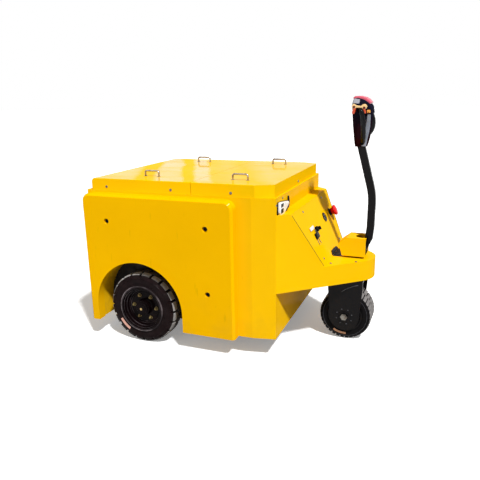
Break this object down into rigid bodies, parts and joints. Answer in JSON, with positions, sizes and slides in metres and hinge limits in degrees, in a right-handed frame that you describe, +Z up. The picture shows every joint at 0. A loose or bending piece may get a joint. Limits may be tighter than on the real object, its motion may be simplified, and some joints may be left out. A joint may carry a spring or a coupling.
{
  "type": "tow_tractor",
  "caption": "Pedestrian-controlled electric tow tractor with a steered front wheel, tiller, thick side ballast plates and two lift-off battery covers",
  "frame": {"origin": "on the floor, under the centre of the overall box", "axes": "+X points to the tiller and the steered wheel, +Y to the machine's left side, +Z up"},
  "size_m": [1.838, 1.192, 1.504],
  "materials": {
    "yellow_paint": "satin",
    "plate_paint": "satin",
    "cover_paint": "gloss",
    "black_paint": "satin",
    "house_paint": "matte",
    "rim_paint": "gloss",
    "tyre": "matte",
    "steel": "brushed",
    "chrome": "polished",
    "battery_case": "matte",
    "black_plastic": "matte",
    "grip_plastic": "gloss",
    "red_plastic": "gloss",
    "white_plastic": "matte",
    "zinc": "satin"
  },
  "bodies": {
    "chassis": {"side_wall_right": "yellow_paint", "side_wall_left": "yellow_paint", "ballast_plate_right": "plate_paint", "ballast_plate_left": "plate_paint", "wheel_house_right": "house_paint", "wheel_house_left": "house_paint", "front_wall": "yellow_paint", "rear_wall": "yellow_paint", "body_rim": "yellow_paint", "floor_plate": "house_paint", "battery_bearers": "house_paint", "battery_block": "battery_case", "rear_axle": "black_paint", "tow_jaw": "black_paint", "nose_shell": "yellow_paint", "dash_panel": "yellow_paint", "platform_cover": "yellow_paint", "steering_bearing": "steel", "battery_gauge": "black_plastic", "emergency_stop": "red_plastic", "key_switch": "black_plastic", "charging_socket": "white_plastic"},
    "wheel_right": {"tyre_right": "tyre", "rim_right": "rim_paint", "hub_cap_right": "rim_paint"},
    "wheel_left": {"tyre_left": "tyre", "rim_left": "rim_paint", "hub_cap_left": "rim_paint"},
    "steering": {"drive_fork": "black_paint", "drive_axle": "steel", "steering_post": "steel", "steering_head": "black_paint", "steering_hood": "yellow_paint", "pivot_pin": "steel"},
    "drive_wheel": {"drive_tyre": "tyre", "drive_hub": "black_paint"},
    "tiller": {"tiller_foot": "black_paint", "tiller_tube": "black_paint", "tiller_housing": "black_plastic", "tiller_grips": "grip_plastic", "belly_pad": "red_plastic"},
    "lid_rear": {"lid_rear": "cover_paint", "handles_rear": "chrome"},
    "lid_front": {"lid_front": "cover_paint", "handles_front": "chrome"}
  },
  "joints": [
    {"name": "wheel_right_spin", "type": "hinge", "parent": "chassis", "child": "wheel_right", "pos_m": [-0.438, -0.5005, 0.2285], "axis": [0, 1, 0], "continuous": true},
    {"name": "wheel_left_spin", "type": "hinge", "parent": "chassis", "child": "wheel_left", "pos_m": [-0.438, 0.5005, 0.2285], "axis": [0, 1, 0], "continuous": true},
    {"name": "steering_turn", "type": "hinge", "parent": "chassis", "child": "steering", "pos_m": [0.757, 0, 0.414], "axis": [0, 0, 1], "range_deg": [-90, 90]},
    {"name": "drive_wheel_spin", "type": "hinge", "parent": "steering", "child": "drive_wheel", "pos_m": [0.757, 0, 0.162], "axis": [0, 1, 0], "continuous": true},
    {"name": "tiller_tilt", "type": "hinge", "parent": "steering", "child": "tiller", "pos_m": [0.849, 0, 0.602], "axis": [0, 1, 0], "range_deg": [0, 75], "stiffness_Nm_per_rad": 25, "springref_deg": -34.38},
    {"name": "lid_rear_lift", "type": "slide", "parent": "chassis", "child": "lid_rear", "axis": [0, 0, 1], "range_m": [0, 0.25]},
    {"name": "lid_front_lift", "type": "slide", "parent": "chassis", "child": "lid_front", "axis": [0, 0, 1], "range_m": [0, 0.25]}
  ]
}
